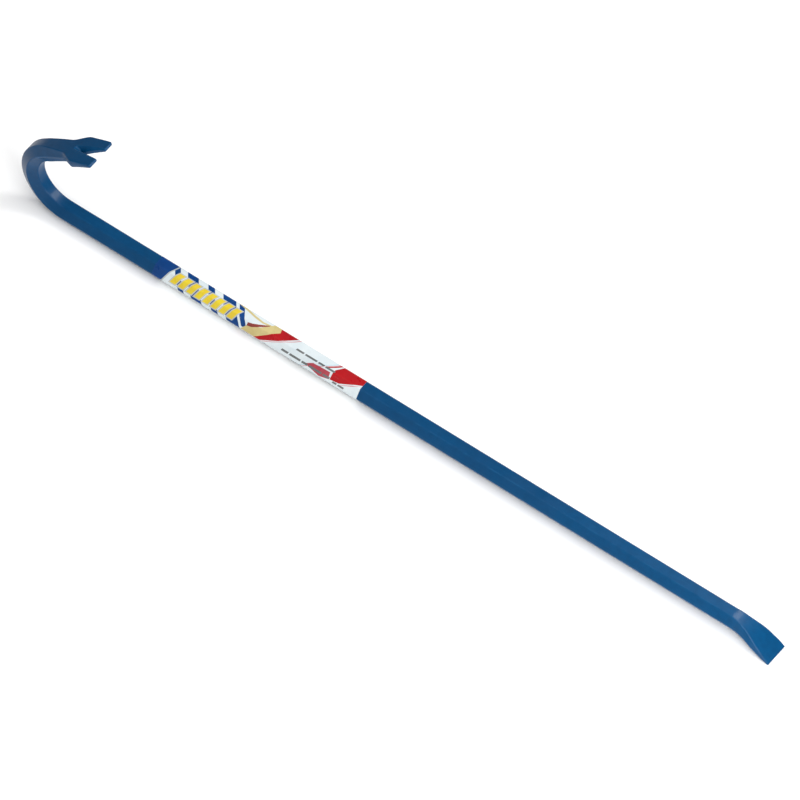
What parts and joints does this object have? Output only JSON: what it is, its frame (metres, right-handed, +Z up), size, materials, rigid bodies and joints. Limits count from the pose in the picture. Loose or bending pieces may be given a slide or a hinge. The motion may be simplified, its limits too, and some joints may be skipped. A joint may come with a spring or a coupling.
{
  "type": "pry bar",
  "caption": "Gooseneck pry bar of painted hexagonal steel, with a slotted nail claw on its hook, a bent-down chisel at the other end and a printed wrap label.",
  "frame": {"origin": "centre of the object's box in X and Y, on the surface that the bar stands on with its chisel edge and the heel of its gooseneck", "axes": "+X along the shank from the gooseneck to the chisel, +Y across the claw, +Z up towards the hook"},
  "size_m": [0.9012, 0.0384, 0.126],
  "materials": {
    "blue_paint": "semi-gloss blue paint over forged steel",
    "label_film": "printed film in blue, white, yellow and red"
  },
  "bodies": {
    "root": {"forged_bar": "blue_paint", "wrap_label": "label_film"}
  },
  "joints": []
}
